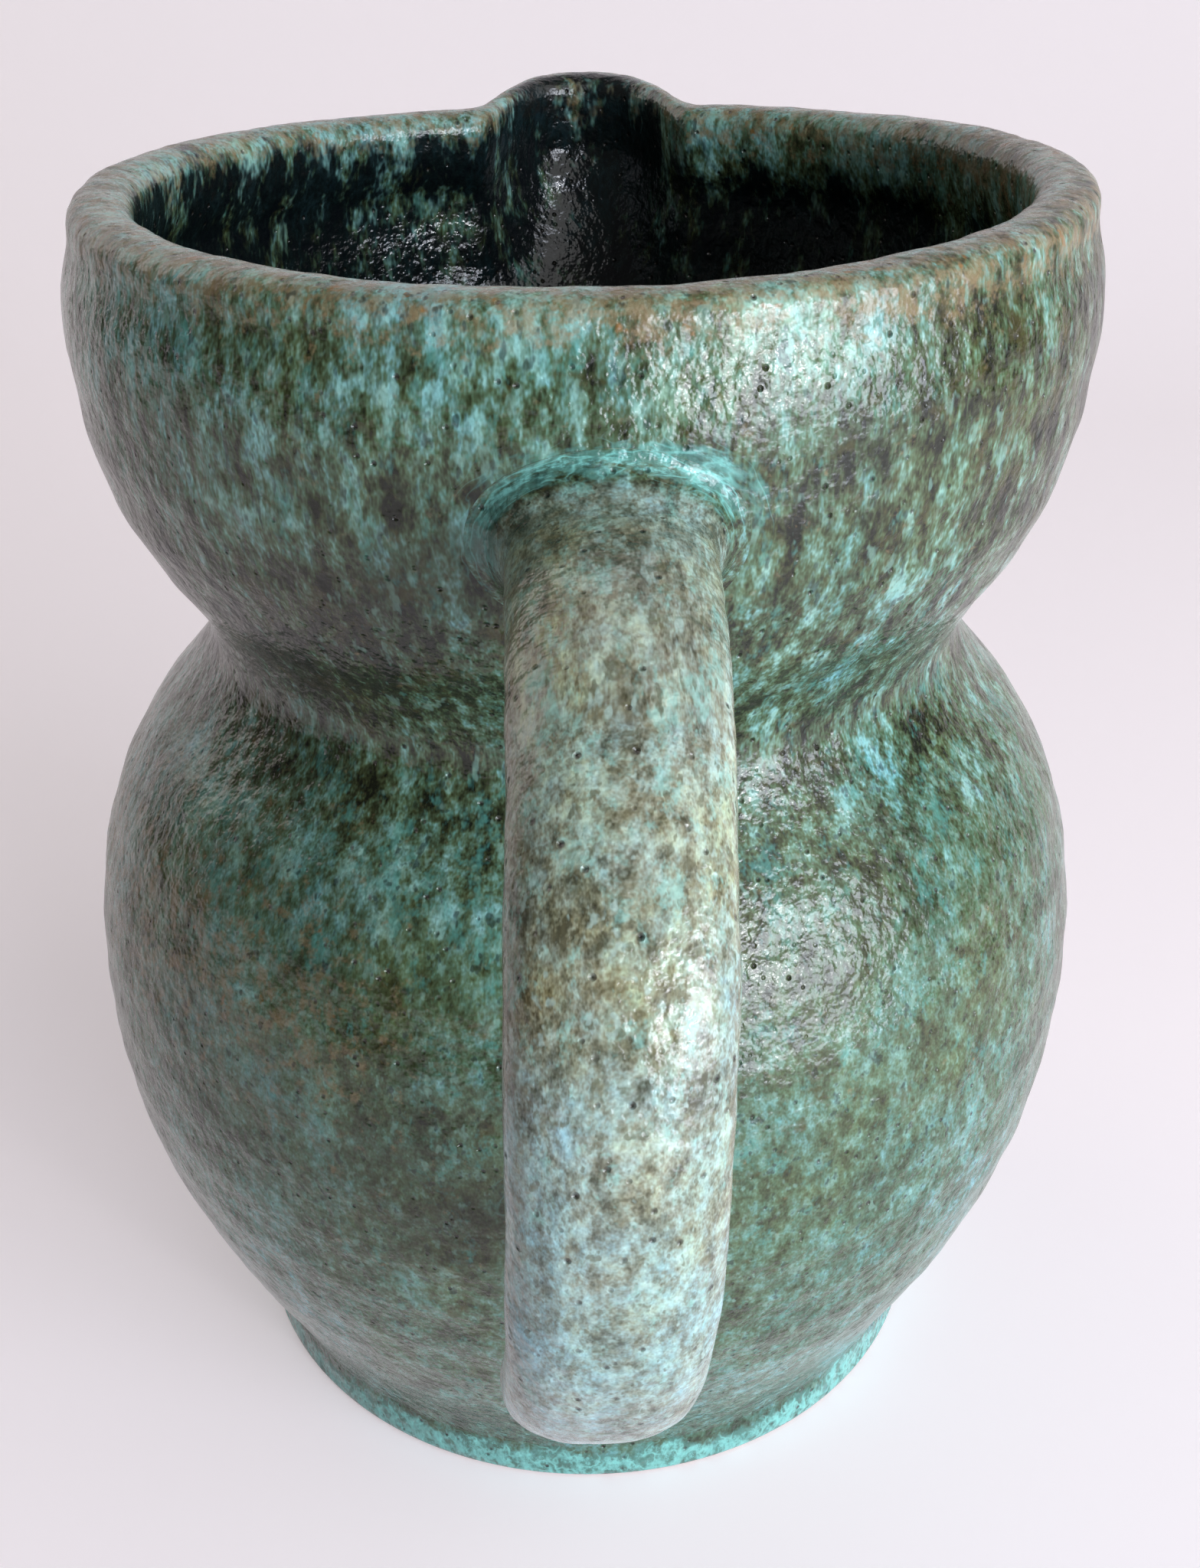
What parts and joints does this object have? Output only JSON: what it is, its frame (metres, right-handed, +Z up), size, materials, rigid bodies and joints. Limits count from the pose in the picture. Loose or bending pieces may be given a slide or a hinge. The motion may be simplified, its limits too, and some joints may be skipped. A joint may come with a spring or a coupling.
{
  "type": "stoneware jug",
  "caption": "Waisted glazed stoneware jug with a round belly, a wide upper bowl, a beak spout on the rim and a pulled strap handle opposite.",
  "frame": {"origin": "on the jug's axis, in the plane its foot stands on", "axes": "+Z up along the axis of the thrown body, +Y towards the spout, -Y towards the handle"},
  "size_m": [0.147, 0.21, 0.1815],
  "materials": {
    "glazed_foot": "pooled turquoise glaze on stoneware, satin",
    "glazed_body": "mottled olive brown and blue-green glaze on stoneware, satin and pitted",
    "glazed_handle": "mottled grey-green and turquoise glaze on stoneware, satin and pitted"
  },
  "bodies": {
    "root": {"foot_ring": "glazed_foot", "belly": "glazed_body", "waist_coil": "glazed_body", "bowl": "glazed_body", "spout": "glazed_body", "handle": "glazed_handle", "upper_root_coil": "glazed_handle", "lower_root_coil": "glazed_handle"}
  },
  "joints": []
}
